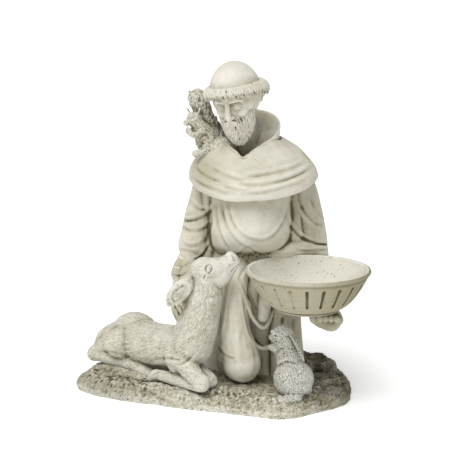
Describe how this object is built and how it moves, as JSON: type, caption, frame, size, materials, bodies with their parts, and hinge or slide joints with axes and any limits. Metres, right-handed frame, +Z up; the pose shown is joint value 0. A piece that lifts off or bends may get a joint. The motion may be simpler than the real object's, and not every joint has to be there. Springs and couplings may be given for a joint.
{
  "type": "garden statue",
  "caption": "Kneeling friar in a hooded robe, cast with a squirrel, a lying fawn and a rabbit on rough ground, holding a fluted dish for bird seed.",
  "frame": {"origin": "on the flat underside, below the friar's chest", "axes": "+Z up, -Y towards the side the friar faces, +X towards the dish"},
  "size_m": [0.3969, 0.31, 0.4451],
  "materials": {
    "cast_stone": "matt resin and stone mix, ivory with a brown wash in the hollows"
  },
  "bodies": {
    "root": {"statue": "cast_stone"}
  },
  "joints": []
}
